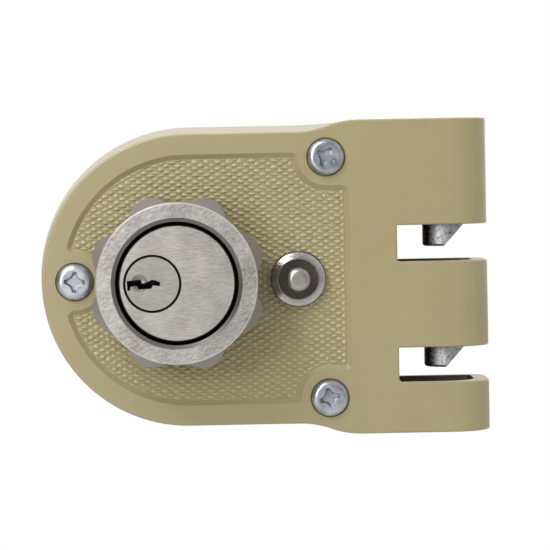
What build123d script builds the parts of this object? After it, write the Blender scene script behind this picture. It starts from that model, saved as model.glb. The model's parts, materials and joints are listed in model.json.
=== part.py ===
from build123d import *
import math
import os

# A rim mounted interlocking door lock: a die cast case with three hollow knuckles, two upright
# spring bolts that drop between the knuckles, a lobed turn knob that holds the inside key cylinder,
# and a stop button. X runs right, Z up and Y into the door. The origin is where the knob's axis
# meets the face of the door. A distance is measured from the door towards the room.

# Clearances, and the overrun that every cut runs past its faces
turning_clearance = 0.1
sliding_clearance = 0.15
seat_clearance = 0.05
plate_clearance = 0.3
overrun = 1.0

# Case
case_depth = 26.0
face_radius = 37.65
door_radius = 39.95
round_x = 2.1
jaw_half_height = 40.6
jaw_end_x = 80.2
flare_start_x = 30.5
flare_end_x = 46.5
jaw_front_radius = 9.5
jaw_back_radius = 5.0
face_wall = 3.0
side_wall = 2.5
jaw_end_wall = 3.8
slot_x = 56.34
upper_slot_top = 13.16
upper_slot_bottom = 3.74
lower_slot_top = -18.52
lower_slot_bottom = -27.55
slot_corner_radius = 0.3
edge_radius = 0.5
mouth_x = 56.9
mouth_lintel = 1.5
pocket_front_radius = 8.0
pocket_back_radius = 2.0

# Recessed panel on the face, with a land left round each screw
panel_depth = 0.9
panel_slope_width = 1.2
panel_radius = 32.4
panel_right_x = 44.2
land_radius = 7.3
panel_corner_radius = 1.8

# Case screws, their seats and the nuts on the mounting plate
jaw_screw_x = 38.3
jaw_screw_inset = 9.5
left_screw_place = (-27.05, 0.1)
case_screw_turns = (61.0, 15.0, 86.0)
screw_radius = 2.4
screw_end = 3.0
head_radius = 4.75
head_height = 2.9
head_round = 1.5
seat_radius = 5.05
seat_depth = 1.2
boss_radius = 5.2
nut_radius = 4.2
nut_height = 4.0
recess_reach = 2.75
recess_wing_width = 1.05
recess_waist = 1.75
recess_depth = 1.5
recess_floor_share = 0.7

# Mounting plate, with the holes that a stranger fastens through
plate_thickness = 2.0
tail_hole_radius = 9.0
door_hole_radius = 2.5
door_hole_sink_radius = 3.7
door_hole_spacing_x = 42.0
door_hole_spacing_z = 52.0
door_hole_centre_x = 9.0
cylinder_hole_radius = 2.75
cylinder_hole_spacing = 28.0

# Turn knob
knob_face = 48.0
knob_radius = 20.3
knob_edge = 0.3
lobe_reach = 22.6
lobe_radius = 5.6
lobe_count = 8
lobe_start = 21.0
lobe_blend = 1.2
flare_radius = 23.0
flare_depth = 5.8
skirt_end = 29.5
neck_radius = 19.0
knob_gap = 0.15
sleeve_radius = 17.5
sleeve_end = 16.0
rim_radius = 16.5
rim_chamfer = 1.0
face_bore_depth = 11.0
lip_radius = 13.9
washer_radius = 18.5
washer_thickness = 0.5

# Ring that keeps the knob in the case
ring_groove_radius = 16.7
ring_radius = 20.0
ring_thickness = 1.4
ring_opening = 12.0

# Key cylinder and its plug
cylinder_radius = 14.7
cylinder_face = 46.0
cylinder_end = 22.0
cylinder_chamfer = 0.35
plug_x = -6.2
plug_radius = 6.35
plug_head_radius = 6.8
plug_head_depth = 3.0
plug_head_gap = 0.4
keyway_depth = 22.0
keyway_shares = (
    (-0.94, 0.12), (-0.42, 0.16), (-0.38, 0.03), (-0.28, 0.03), (-0.17, 0.08), (0.03, 0.165),
    (0.29, 0.055), (0.285, -0.085), (0.03, -0.06), (-0.04, -0.18), (-0.5, -0.205), (-0.555, -0.09),
    (-0.68, -0.06), (-0.8, -0.105), (-0.82, -0.23), (-0.92, -0.23),
)
guide_x = -9.4
guide_z = 0.5
guide_radius = 2.0
guide_depth = 0.6

# Pins in the cylinder
pin_count = 5
pin_pitch = 4.0
first_pin = 41.5
pin_radius = 1.4
key_pin_length = 4.3
key_pin_nose = 0.3
driver_length = 4.0
stopper_length = 1.4
pin_spring_wall = 0.45

# Cam on the plug's tail, and the lock bar that it drives
cam_radius = 7.4
cam_thickness = 2.0
cam_pin_radius = 1.0
cam_throw = 2.12
cam_pin_turn = 45.0
cam_screw_radius = 0.7
cam_screw_length = 3.6
cam_screw_head_radius = 1.2
cam_screw_head_height = 0.6
cam_screw_circle = 3.4
cam_screw_turns = (165.0, 285.0)
bar_width = 5.0
bar_tip_radius = 20.0
bar_tail_x = -1.6
bar_head_x = -7.8
bar_head_top = 4.6
bar_thickness = 2.85

# Drive hub on the back of the knob, and its crank pin
hub_radius = 17.0
hub_thickness = 3.0
socket_radius = 6.0
socket_end = 2.5
tail_slot_width = 2.6
tail_slot_length = 8.6
tail_slot_depth = 8.0
hub_screw_radius = 1.2
hub_screw_length = 12.0
hub_screw_head_radius = 2.2
hub_screw_head_height = 1.2
hub_screw_places = ((4.6, 10.8), (4.6, -10.8))
crank_radius = 10.0
crank_swing = 18.05
crank_pin_radius = 2.5
crank_pin_end = 6.8
crank_shank_radius = 1.8

# Wall round the knob in the case, with a notch for the lock bar at each end of the knob's turn
collar_inner_radius = 20.5
collar_radius = 23.5
collar_end = 15.8
notch_radius = 23.4

# Bolt carriage
carriage_front = 10.0
carriage_back = 7.0
spine_left_x = 44.3
spine_right_x = 53.0
spine_bottom = -30.5
tongue_top = 3.2
tongue_bottom = -10.4
tongue_end_x = 6.7
fork_depth_x = 12.9
arm_end_x = 74.0
upper_arm_bottom = 18.5
upper_arm_top = 28.0
lower_arm_bottom = -14.0
lower_arm_top = -4.6
bolt_travel = 6.2
stop_hole_radius = 2.1
arm_corner_radius = 1.5

# Guide posts and the spring's peg, all riveted to the mounting plate
guide_x_line = 48.65
guide_places_z = (10.5, 24.0)
guide_pin_radius = 1.6
guide_shoulder_radius = 3.0
guide_head_radius = 2.9
guide_head_height = 1.3
window_width = 5.1
window_bottom = -28.0
window_top = -7.2
peg_bottom = -11.0
peg_height = 3.0
peg_half_width = 2.2
peg_front = 11.0
return_spring_radius = 2.0
return_spring_bore = 1.3

# Bolts
bolt_x = 69.6
bolt_distance = 13.0
bolt_radius = 6.0
upper_bolt_tip = 7.4
upper_bolt_top = 30.0
lower_bolt_tip = -24.25
lower_bolt_top = -3.2
bevel_start_x = 68.8
bevel_end_x = 74.0
bevel_height = 5.55
tip_round = 0.7
bolt_screw_radius = 1.5
bolt_screw_length = 9.0
bolt_screw_head_radius = 2.5
bolt_screw_head_height = 0.8
bolt_screw_offset = 3.0
arm_lap = 0.6

# Stop button and its bushing
button_gap = 0.44
button_z = -0.2
bezel_radius = 7.0
bezel_height = 3.4
bezel_slope_width = 1.6
bezel_slope_drop = 1.1
bezel_round = 0.3
cup_radius = 5.15
cup_depth = 2.6
button_radius = 3.17
button_face = 31.5
button_dome = 1.6
button_collar_radius = 4.3
button_collar_length = 2.0
shoulder_thickness = 1.3
button_tail_radius = 1.8
button_tail_end = 11.0
button_travel = 3.5
barrel_radius = 5.6
barrel_end = 13.0
chamber_radius = 4.5
cap_step = 0.4
bush_nut_radius = 6.7
bush_nut_height = 2.6
cap_thickness = 1.4
button_spring_wall = 0.7


def front(distance):
    """A sketch plane seen from the room, this far in front of the door."""
    return Plane.XZ.offset(distance)


def round_bar(radius, near, far, x=0, z=0, mode=Mode.ADD):
    """A round bar or hole along the door's normal, from the near distance back to the far one."""
    with BuildSketch(front(near)) as outline:
        with Locations((x, z)):
            Circle(radius)
    extrude(outline.sketch, amount=far - near, mode=mode)


def block(left, right, low, high, near, far, mode=Mode.ADD):
    """A square block or cut between two X, two Z and two distances."""
    with BuildSketch(front(near)) as outline:
        with Locations(((left + right) / 2, (low + high) / 2)):
            Rectangle(right - left, high - low)
    extrude(outline.sketch, amount=far - near, mode=mode)


def turned(points, x=0, z=0, mode=Mode.ADD):
    """A turned shape: the points are (radius, distance) about an axis along the door's normal."""
    with BuildSketch(Plane(origin=(x, 0, z), x_dir=(1, 0, 0), z_dir=(0, 0, 1))) as outline:
        with BuildLine():
            Polyline([(radius, -distance) for radius, distance in points], close=True)
        make_face()
    revolve(outline.sketch, axis=Axis((x, 0, z), (0, 1, 0)), mode=mode)


def tube(radius, bore, near, far, x=0, z=0):
    """A ring or sleeve along the door's normal."""
    turned([(bore, near), (radius, near), (radius, far), (bore, far)], x, z)


def cross_recess(x, z, top, turn):
    """Cuts a cross recess: four wings with hollow sides between them, smaller at the floor."""
    half = recess_wing_width / 2
    waist = recess_waist / math.sqrt(2)
    corners = (
        (recess_reach, -half),
        (recess_reach, half),
        (waist, waist),
        (half, recess_reach),
    )
    with BuildSketch() as star:
        with BuildLine():
            for quarter in range(4):
                start, end, hollow, after = [
                    Vector(*corner).rotate(Axis.Z, 90 * quarter) for corner in corners
                ]
                Line(start, end)
                ThreePointArc(end, hollow, after)
        make_face()
    mouth = Plane(origin=(x, -top, z), x_dir=(1, 0, 0), z_dir=(0, -1, 0))
    sections = []
    for depth in (-overrun, recess_depth):
        share = 1 - (1 - recess_floor_share) * depth / recess_depth
        sections.append(mouth.offset(-depth) * Rot(0, 0, turn) * scale(star.sketch, by=share))
    loft(sections, ruled=True, mode=Mode.SUBTRACT)


def cross_bar(radius, left, right, distance, mode=Mode.ADD):
    """A round bar or hole along X, in the middle height of the key cylinder."""
    with BuildSketch(Plane.YZ.offset(left)) as outline:
        with Locations((-distance, 0)):
            Circle(radius)
    extrude(outline.sketch, amount=right - left, mode=mode)


def sharp_corners(outline):
    """The corners of an outline where two edges meet at an angle."""
    corners = []
    for corner in outline.vertices():
        place = Vector(corner)
        first, second = [
            edge % end
            for edge in outline.edges()
            for end in (0, 1)
            if (place - edge @ end).length < seat_clearance
        ]
        if first.cross(second).length > seat_clearance:
            corners.append(corner)
    return corners


def case_outline(distance, radius, half_height, end_x):
    """The round end, the two flares and the jaw block, at one depth."""
    middle = ((flare_start_x + flare_end_x) / 2, (radius + half_height) / 2)
    with BuildSketch(front(distance)) as outline:
        with BuildLine():
            ThreePointArc((round_x, -radius), (round_x - radius, 0), (round_x, radius))
            for side in (1, -1):
                half_way = (middle[0], side * middle[1])
                Line((round_x, side * radius), (flare_start_x, side * radius))
                rise = TangentArc((flare_start_x, side * radius), half_way, tangent=(1, 0))
                TangentArc(half_way, (flare_end_x, side * half_height), tangent=rise % 1)
                Line((flare_end_x, side * half_height), (end_x, side * half_height))
            Line((end_x, -half_height), (end_x, half_height))
        make_face()
    return outline.sketch


def wall_radius(distance):
    """The outer radius of the case's round end at this distance from the door."""
    return door_radius + (face_radius - door_radius) * distance / case_depth


def jaw_pocket(low, high, left):
    """The hollow of one knuckle between two heights."""
    right = jaw_end_x - jaw_end_wall
    near = case_depth - face_wall
    with BuildSketch(Plane.XY.offset(low)) as plan:
        with BuildLine():
            Polyline((left, -near), (right, -near), (right, -side_wall), (left, -side_wall), close=True)
        make_face()
        right_corners = plan.vertices().group_by(Axis.X)[-1].sort_by(Axis.Y)
        fillet(right_corners[0], pocket_front_radius)
        fillet(plan.vertices().group_by(Axis.X)[-1].sort_by(Axis.Y)[-1], pocket_back_radius)
    extrude(plan.sketch, amount=high - low, mode=Mode.SUBTRACT)


def save(builder, name):
    """Labels a finished piece and writes it."""
    builder.part.label = name
    export_step(builder.part, "parts/" + name + ".step")


os.makedirs("parts", exist_ok=True)

jaw_screw_z = jaw_half_height - jaw_screw_inset
case_screw_places = ((jaw_screw_x, jaw_screw_z), (jaw_screw_x, -jaw_screw_z), left_screw_place)
button_x = collar_radius + bush_nut_radius + button_gap
inner_face = case_depth - face_wall
panel_floor = case_depth - panel_depth
screw_seat = case_depth - seat_depth
cavity_end_x = slot_x - side_wall
cavity_half_height = jaw_half_height - side_wall
nut_front = plate_thickness + nut_height
knob_hole_radius = sleeve_radius + turning_clearance
knob_back = panel_floor + washer_thickness + knob_gap
ring_front = inner_face - turning_clearance
ring_back = ring_front - ring_thickness
hub_back = sleeve_end - hub_thickness
hub_screw_tip = hub_back + hub_screw_length
crank_x = crank_radius * math.cos(math.radians(crank_swing))
crank_z = -crank_radius * math.sin(math.radians(crank_swing))
bar_back = sleeve_end + sliding_clearance
bar_front = bar_back + bar_thickness
plug_end = cylinder_end - turning_clearance
plug_head_back = cylinder_face - plug_head_depth + seat_clearance
cam_back = plug_end - cam_thickness
cam_screw_tip = cam_back + cam_screw_length
cam_pin_x = plug_x + cam_throw * math.cos(math.radians(cam_pin_turn))
cam_pin_z = cam_throw * math.sin(math.radians(cam_pin_turn))
cam_screw_places = [
    (
        plug_x + cam_screw_circle * math.cos(math.radians(turn)),
        cam_screw_circle * math.sin(math.radians(turn)),
    )
    for turn in cam_screw_turns
]
pin_distances = [first_pin - pin_pitch * place for place in range(pin_count)]
chamber_bore = pin_radius + turning_clearance
key_pin_top = plug_x + math.sqrt(plug_radius**2 - pin_radius**2) - turning_clearance
key_pin_seat = key_pin_top - key_pin_length
driver_seat = plug_x + plug_radius + 2 * turning_clearance
driver_top = driver_seat + driver_length
stopper_end = math.sqrt(cylinder_radius**2 - chamber_bore**2) - seat_clearance
stopper_start = stopper_end - stopper_length
peg_middle = peg_bottom + peg_height / 2
upper_arm_middle = (upper_arm_bottom + upper_arm_top) / 2
lower_arm_middle = (lower_arm_bottom + lower_arm_top) / 2
bolt_screw_tip = carriage_back + bolt_screw_length
bolt_screw_places = [
    (bolt_x + side * bolt_screw_offset, z)
    for side in (-1, 1)
    for z in (upper_arm_middle, lower_arm_middle)
]
bezel_front = panel_floor + bezel_height
shoulder = bezel_front - cup_depth - shoulder_thickness
collar_front = shoulder - seat_clearance
collar_back = collar_front - button_collar_length
cap_front = barrel_end + cap_thickness

# Case
with BuildPart() as case:
    loft(
        [
            case_outline(case_depth, face_radius, jaw_half_height, jaw_end_x),
            case_outline(0, door_radius, jaw_half_height, jaw_end_x),
        ],
        ruled=True,
    )
    jaw_edges = case.edges().filter_by(Axis.Z).group_by(Axis.X)[-1].sort_by(Axis.Y)
    fillet(jaw_edges[0], jaw_front_radius)
    jaw_edges = case.edges().filter_by(Axis.Z).group_by(Axis.X)[-1].sort_by(Axis.Y)
    fillet(jaw_edges[-1], jaw_back_radius)
    for low, high in ((upper_slot_bottom, upper_slot_top), (lower_slot_bottom, lower_slot_top)):
        block(slot_x, jaw_end_x + overrun, low, high, case_depth + overrun, -overrun, Mode.SUBTRACT)
    slot_corners = [
        edge
        for edge in case.edges().filter_by(Axis.Y)
        if abs(edge.center().X - slot_x) < seat_clearance
    ]
    fillet(slot_corners, slot_corner_radius)
    blend_x = jaw_end_x - jaw_front_radius
    face_edges = [
        edge
        for edge in case.edges()
        if abs(edge.center().Y + case_depth) < seat_clearance
        and abs(edge.center().X - blend_x) > seat_clearance
    ]
    end_edges = [
        edge
        for edge in case.edges()
        if edge.center().X > blend_x + seat_clearance
        and abs(edge.center().Y) > seat_clearance
        and edge.bounding_box().size.Z < seat_clearance
    ]
    fillet(face_edges + end_edges, edge_radius)

    loft(
        [
            case_outline(distance, wall_radius(distance) - side_wall, cavity_half_height, cavity_end_x)
            for distance in (inner_face, -overrun)
        ],
        ruled=True,
        mode=Mode.SUBTRACT,
    )
    pocket_left_x = cavity_end_x - overrun
    jaw_pocket(upper_slot_top + side_wall, cavity_half_height, pocket_left_x)
    jaw_pocket(lower_slot_top + side_wall, upper_slot_bottom - mouth_lintel, pocket_left_x)
    jaw_pocket(-cavity_half_height, lower_slot_bottom - mouth_lintel, pocket_left_x)
    for mouth in (upper_slot_bottom, lower_slot_bottom):
        jaw_pocket(mouth - mouth_lintel - overrun, mouth + overrun, mouth_x)
    for floor in (upper_slot_top, lower_slot_top):
        with BuildSketch(Plane.XY.offset(floor - overrun)):
            with Locations((bolt_x, -bolt_distance)):
                Circle(bolt_radius + sliding_clearance)
        extrude(amount=side_wall + 2 * overrun, mode=Mode.SUBTRACT)

    with BuildSketch(front(case_depth)) as panel:
        with BuildLine():
            ThreePointArc(
                (round_x, -panel_radius), (round_x - panel_radius, 0), (round_x, panel_radius)
            )
            Polyline(
                (round_x, panel_radius),
                (panel_right_x, panel_radius),
                (panel_right_x, -panel_radius),
                (round_x, -panel_radius),
            )
        make_face()
        for x, z in case_screw_places:
            with Locations((x, z)):
                Circle(land_radius, mode=Mode.SUBTRACT)
                outward = Align.MIN if x > 0 else Align.MAX
                upward = Align.CENTER if x < 0 else Align.MIN if z > 0 else Align.MAX
                height = 2 * land_radius if x < 0 else panel_radius
                shift = 0 if x < 0 else math.copysign(land_radius, z)
            with Locations((x, z - shift)):
                Rectangle(panel_radius, height, align=(outward, upward), mode=Mode.SUBTRACT)
        fillet(sharp_corners(panel), panel_corner_radius)
    panel_slope = math.degrees(math.atan2(panel_slope_width, panel_depth))
    extrude(amount=-panel_depth, taper=panel_slope, mode=Mode.SUBTRACT)

    for x, z in case_screw_places:
        round_bar(boss_radius, inner_face + overrun, nut_front, x, z)
    tube(collar_radius, collar_inner_radius, inner_face + overrun, collar_end)
    for turn in (0, 2 * crank_swing):
        direction = math.radians(180 + turn)
        notch_middle = (collar_inner_radius + notch_radius - overrun) / 2
        with BuildSketch(front(bar_front + sliding_clearance)):
            with Locations((notch_middle * math.cos(direction), notch_middle * math.sin(direction))):
                Rectangle(
                    notch_radius - collar_inner_radius + overrun,
                    bar_width + 4 * sliding_clearance,
                    rotation=turn,
                )
        extrude(amount=collar_end - overrun - bar_front - sliding_clearance, mode=Mode.SUBTRACT)
    round_bar(knob_hole_radius, case_depth + overrun, inner_face - overrun, mode=Mode.SUBTRACT)
    round_bar(
        barrel_radius + seat_clearance,
        case_depth + overrun,
        inner_face - overrun,
        button_x,
        button_z,
        Mode.SUBTRACT,
    )
    for x, z in case_screw_places:
        round_bar(seat_radius, case_depth + overrun, screw_seat, x, z, Mode.SUBTRACT)
        round_bar(
            screw_radius + turning_clearance, case_depth, nut_front - overrun, x, z, Mode.SUBTRACT
        )
save(case, "case")

# Mounting plate that closes the back of the case
with BuildPart() as mounting_plate:
    plate_outline = case_outline(
        plate_thickness,
        wall_radius(plate_thickness) - side_wall - plate_clearance,
        cavity_half_height - plate_clearance,
        cavity_end_x - plate_clearance,
    )
    extrude(plate_outline, amount=-plate_thickness)
    round_bar(tail_hole_radius, plate_thickness + overrun, -overrun, mode=Mode.SUBTRACT)
    with Locations(front(plate_thickness)):
        with Locations((door_hole_centre_x, 0)):
            with GridLocations(door_hole_spacing_x, door_hole_spacing_z, 2, 2):
                CounterSinkHole(door_hole_radius, door_hole_sink_radius)
        with GridLocations(cylinder_hole_spacing, cylinder_hole_spacing, 2, 1):
            Hole(cylinder_hole_radius)
    for z in (*guide_places_z, peg_middle):
        round_bar(
            guide_pin_radius + seat_clearance,
            plate_thickness + overrun,
            -overrun,
            guide_x_line,
            z,
            Mode.SUBTRACT,
        )
save(mounting_plate, "mounting_plate")

# Three pan head case screws
with BuildPart() as case_screws:
    for x, z in case_screw_places:
        round_bar(head_radius, screw_seat + head_height, screw_seat, x, z)
    fillet(case_screws.edges().filter_by(GeomType.CIRCLE).group_by(Axis.Y)[0], head_round)
    for (x, z), turn in zip(case_screw_places, case_screw_turns):
        round_bar(screw_radius, screw_seat, screw_end, x, z)
        cross_recess(x, z, screw_seat + head_height, turn)
save(case_screws, "case_screws")

# Clinch nuts on the mounting plate
with BuildPart() as plate_nuts:
    for x, z in case_screw_places:
        tube(nut_radius, screw_radius + seat_clearance, nut_front, plate_thickness, x, z)
save(plate_nuts, "plate_nuts")

# Turn knob with its sleeve through the case
with BuildPart() as turn_knob:
    with BuildSketch(front(knob_face)) as knob_outline:
        Circle(knob_radius)
        with PolarLocations(lobe_reach - lobe_radius, lobe_count, start_angle=lobe_start):
            Circle(lobe_radius)
        fillet(knob_outline.vertices(), lobe_blend)
    extrude(amount=skirt_end - knob_face)
    turned(
        [
            (knob_radius - knob_edge, knob_face),
            (knob_radius, knob_face - knob_edge),
            (flare_radius, knob_face - flare_depth),
            (flare_radius + overrun, knob_face - flare_depth),
            (flare_radius + overrun, knob_face + overrun),
            (knob_radius - knob_edge, knob_face + overrun),
        ],
        mode=Mode.SUBTRACT,
    )
    round_bar(neck_radius, skirt_end, knob_back)
    round_bar(sleeve_radius, knob_back, sleeve_end)
    turned(
        [
            (0, knob_face + overrun),
            (rim_radius + overrun, knob_face + overrun),
            (rim_radius - rim_chamfer, knob_face - rim_chamfer),
            (rim_radius - rim_chamfer, knob_face - face_bore_depth),
            (cylinder_radius + turning_clearance, knob_face - face_bore_depth),
            (cylinder_radius + turning_clearance, cylinder_end),
            (lip_radius, cylinder_end),
            (lip_radius, sleeve_end - overrun),
            (0, sleeve_end - overrun),
        ],
        mode=Mode.SUBTRACT,
    )
    turned(
        [
            (ring_groove_radius, ring_front + seat_clearance),
            (sleeve_radius + overrun, ring_front + seat_clearance),
            (sleeve_radius + overrun, ring_back - seat_clearance),
            (ring_groove_radius, ring_back - seat_clearance),
        ],
        mode=Mode.SUBTRACT,
    )
    block(
        -sleeve_radius - overrun,
        overrun - lip_radius,
        -bar_width / 2 - sliding_clearance,
        bar_width / 2 + sliding_clearance,
        bar_front + sliding_clearance,
        sleeve_end - overrun,
        Mode.SUBTRACT,
    )
save(turn_knob, "turn_knob")

# Thin washer between the knob and the case
with BuildPart() as knob_washer:
    tube(washer_radius, knob_hole_radius, panel_floor + washer_thickness, panel_floor)
save(knob_washer, "knob_washer")

# Open spring ring in the sleeve's groove
with BuildPart() as knob_retaining_ring:
    tube(ring_radius, ring_groove_radius + seat_clearance, ring_front, ring_back)
    block(
        0,
        ring_radius + overrun,
        -ring_opening / 2,
        ring_opening / 2,
        ring_front + overrun,
        ring_back - overrun,
        Mode.SUBTRACT,
    )
save(knob_retaining_ring, "knob_retaining_ring")

# Cylinder body
with BuildPart() as cylinder_body:
    round_bar(cylinder_radius, cylinder_face, cylinder_end)
    chamfer(cylinder_body.edges().group_by(Axis.Y)[0], cylinder_chamfer)
    turned(
        [
            (0, cylinder_face + overrun),
            (plug_head_radius + plug_head_gap, cylinder_face + overrun),
            (plug_head_radius + plug_head_gap, cylinder_face - plug_head_depth),
            (plug_radius + turning_clearance, cylinder_face - plug_head_depth),
            (plug_radius + turning_clearance, cylinder_end - overrun),
            (0, cylinder_end - overrun),
        ],
        plug_x,
        mode=Mode.SUBTRACT,
    )
    for distance in pin_distances:
        cross_bar(chamber_bore, plug_x, cylinder_radius + overrun, distance, Mode.SUBTRACT)
    for x, z in hub_screw_places:
        round_bar(
            hub_screw_radius + seat_clearance,
            hub_screw_tip + overrun,
            cylinder_end - overrun,
            x,
            z,
            Mode.SUBTRACT,
        )
save(cylinder_body, "cylinder_body")

# Plug with its keyway
with BuildPart() as cylinder_plug:
    round_bar(plug_head_radius, cylinder_face, plug_head_back, plug_x)
    round_bar(plug_radius, plug_head_back, plug_end, plug_x)
    with BuildSketch(front(cylinder_face + overrun)):
        with Locations((plug_x, 0)):
            Polygon([(plug_head_radius * a, plug_head_radius * b) for a, b in keyway_shares], align=None)
    extrude(amount=-keyway_depth - overrun, mode=Mode.SUBTRACT)
    guide_ball = (guide_radius**2 + guide_depth**2) / (2 * guide_depth)
    with Locations((guide_x, guide_depth - guide_ball - cylinder_face, guide_z)):
        Sphere(guide_ball, mode=Mode.SUBTRACT)
    for distance in pin_distances:
        cross_bar(chamber_bore, key_pin_seat, plug_x + plug_radius + overrun, distance, Mode.SUBTRACT)
    for x, z in cam_screw_places:
        round_bar(
            cam_screw_radius + seat_clearance,
            cam_screw_tip + seat_clearance,
            plug_end - overrun,
            x,
            z,
            Mode.SUBTRACT,
        )
save(cylinder_plug, "cylinder_plug")

# Pins, springs and the stoppers of their chambers
with BuildPart() as key_pins:
    for distance in pin_distances:
        cross_bar(pin_radius, key_pin_seat, key_pin_top, distance)
    chamfer(key_pins.edges().group_by(Axis.X)[0], key_pin_nose)
save(key_pins, "key_pins")

with BuildPart() as driver_pins:
    for distance in pin_distances:
        cross_bar(pin_radius, driver_seat, driver_top, distance)
save(driver_pins, "driver_pins")

with BuildPart() as pin_springs:
    for distance in pin_distances:
        cross_bar(pin_radius, driver_top, stopper_start, distance)
        cross_bar(
            pin_radius - pin_spring_wall,
            driver_top - overrun,
            stopper_start + overrun,
            distance,
            Mode.SUBTRACT,
        )
save(pin_springs, "pin_springs")

with BuildPart() as chamber_stoppers:
    for distance in pin_distances:
        cross_bar(chamber_bore - seat_clearance, stopper_start, stopper_end, distance)
save(chamber_stoppers, "chamber_stoppers")

# Cam on the plug's tail with its eccentric pin
with BuildPart() as plug_cam:
    round_bar(cam_radius, plug_end, cam_back, plug_x)
    round_bar(cam_pin_radius, cam_back, bar_back + sliding_clearance, cam_pin_x, cam_pin_z)
    for x, z in cam_screw_places:
        round_bar(
            cam_screw_radius + seat_clearance, plug_end + overrun, cam_back - overrun, x, z, Mode.SUBTRACT
        )
save(plug_cam, "plug_cam")

with BuildPart() as cam_screws:
    for x, z in cam_screw_places:
        round_bar(cam_screw_head_radius, cam_back, cam_back - cam_screw_head_height, x, z)
        round_bar(cam_screw_radius, cam_screw_tip, cam_back, x, z)
save(cam_screws, "cam_screws")

# Lock bar that holds the knob once the key has turned the plug
with BuildPart() as lock_bar:
    block(-bar_tip_radius, bar_tail_x, -bar_width / 2, bar_width / 2, bar_front, bar_back)
    block(bar_head_x, bar_tail_x, 0, bar_head_top, bar_front, bar_back)
    with BuildSketch(front(bar_front + overrun)):
        with Locations((cam_pin_x, (cam_pin_z + cam_throw) / 2)):
            SlotOverall(
                2 * cam_pin_radius + cam_throw - cam_pin_z + 2 * sliding_clearance,
                2 * (cam_pin_radius + sliding_clearance),
                rotation=90,
            )
    extrude(amount=bar_back - bar_front - 2 * overrun, mode=Mode.SUBTRACT)
save(lock_bar, "lock_bar")

# Drive hub with the socket for the outside cylinder's tailpiece
with BuildPart() as drive_hub:
    round_bar(hub_radius, sleeve_end, hub_back)
    round_bar(socket_radius, hub_back, socket_end)
    with BuildSketch(front(socket_end - overrun)):
        Rectangle(tail_slot_length, tail_slot_width)
        Rectangle(tail_slot_width, tail_slot_length)
    extrude(amount=tail_slot_depth + overrun, mode=Mode.SUBTRACT)
    for x, z in hub_screw_places:
        round_bar(
            hub_screw_radius + seat_clearance, sleeve_end + overrun, hub_back - overrun, x, z, Mode.SUBTRACT
        )
    round_bar(
        crank_shank_radius + seat_clearance,
        sleeve_end + overrun,
        hub_back - overrun,
        crank_x,
        crank_z,
        Mode.SUBTRACT,
    )
save(drive_hub, "drive_hub")

with BuildPart() as crank_pin:
    round_bar(crank_shank_radius, sleeve_end, hub_back, crank_x, crank_z)
    round_bar(crank_pin_radius, hub_back, crank_pin_end, crank_x, crank_z)
save(crank_pin, "crank_pin")

with BuildPart() as hub_screws:
    for x, z in hub_screw_places:
        round_bar(hub_screw_head_radius, hub_back, hub_back - hub_screw_head_height, x, z)
        round_bar(hub_screw_radius, hub_screw_tip, hub_back, x, z)
save(hub_screws, "hub_screws")

# Bolt carriage: a spine, a forked tongue for the crank pin and an arm for each bolt
with BuildPart() as bolt_carriage:
    with BuildSketch(front(carriage_front)) as carriage_outline:
        for left, right, low, high in (
            (spine_left_x, spine_right_x, spine_bottom, upper_arm_top),
            (tongue_end_x, spine_right_x, tongue_bottom, tongue_top),
            (spine_left_x, arm_end_x, upper_arm_bottom, upper_arm_top),
            (spine_left_x, arm_end_x, lower_arm_bottom, lower_arm_top),
        ):
            with Locations(((left + right) / 2, (low + high) / 2)):
                Rectangle(right - left, high - low)
        fillet(carriage_outline.vertices(), arm_corner_radius)
        with Locations((fork_depth_x, crank_z)):
            Rectangle(
                fork_depth_x,
                2 * (crank_pin_radius + turning_clearance),
                align=(Align.MAX, Align.CENTER),
                mode=Mode.SUBTRACT,
            )
        with Locations((button_x, button_z), (button_x, button_z - bolt_travel)):
            Circle(stop_hole_radius, mode=Mode.SUBTRACT)
        with Locations(*[(guide_x_line, z - bolt_travel / 2) for z in guide_places_z]):
            SlotOverall(
                bolt_travel + 2 * (guide_pin_radius + sliding_clearance),
                2 * (guide_pin_radius + sliding_clearance),
                rotation=90,
                mode=Mode.SUBTRACT,
            )
        with Locations((guide_x_line, (window_bottom + window_top) / 2)):
            Rectangle(window_width, window_top - window_bottom, mode=Mode.SUBTRACT)
        with Locations(*bolt_screw_places):
            Circle(bolt_screw_radius + seat_clearance, mode=Mode.SUBTRACT)
    extrude(amount=carriage_back - carriage_front)
save(bolt_carriage, "bolt_carriage")

# The two bolts, alike but for their length
for name, tip, top, arm_bottom, arm_middle in (
    ("upper_bolt", upper_bolt_tip, upper_bolt_top, upper_arm_bottom, upper_arm_middle),
    ("lower_bolt", lower_bolt_tip, lower_bolt_top, lower_arm_bottom, lower_arm_middle),
):
    with BuildPart() as bolt:
        with BuildSketch(Plane.XY.offset(tip)):
            with Locations((bolt_x, -bolt_distance)):
                Circle(bolt_radius)
        extrude(amount=top - tip)
        bevel_slope = bevel_height / (bevel_end_x - bevel_start_x)
        beyond_x = bolt_x + bolt_radius + overrun
        with BuildSketch(front(bolt_distance + bolt_radius + overrun)):
            Polygon(
                (bevel_start_x - overrun / bevel_slope, tip - overrun),
                (beyond_x, tip - overrun),
                (beyond_x, tip + (beyond_x - bevel_start_x) * bevel_slope),
                align=None,
            )
        extrude(amount=-2 * (bolt_radius + overrun), mode=Mode.SUBTRACT)
        fillet(bolt.faces().sort_by(Axis.Z)[0].edges(), tip_round)
        block(
            bolt_x - bolt_radius - overrun,
            beyond_x,
            arm_bottom - arm_lap,
            top + overrun,
            carriage_front,
            bolt_distance - bolt_radius - overrun,
            Mode.SUBTRACT,
        )
        for side in (-1, 1):
            round_bar(
                bolt_screw_radius + seat_clearance,
                bolt_screw_tip + seat_clearance,
                carriage_front - overrun,
                bolt_x + side * bolt_screw_offset,
                arm_middle,
                Mode.SUBTRACT,
            )
    save(bolt, name)

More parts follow.
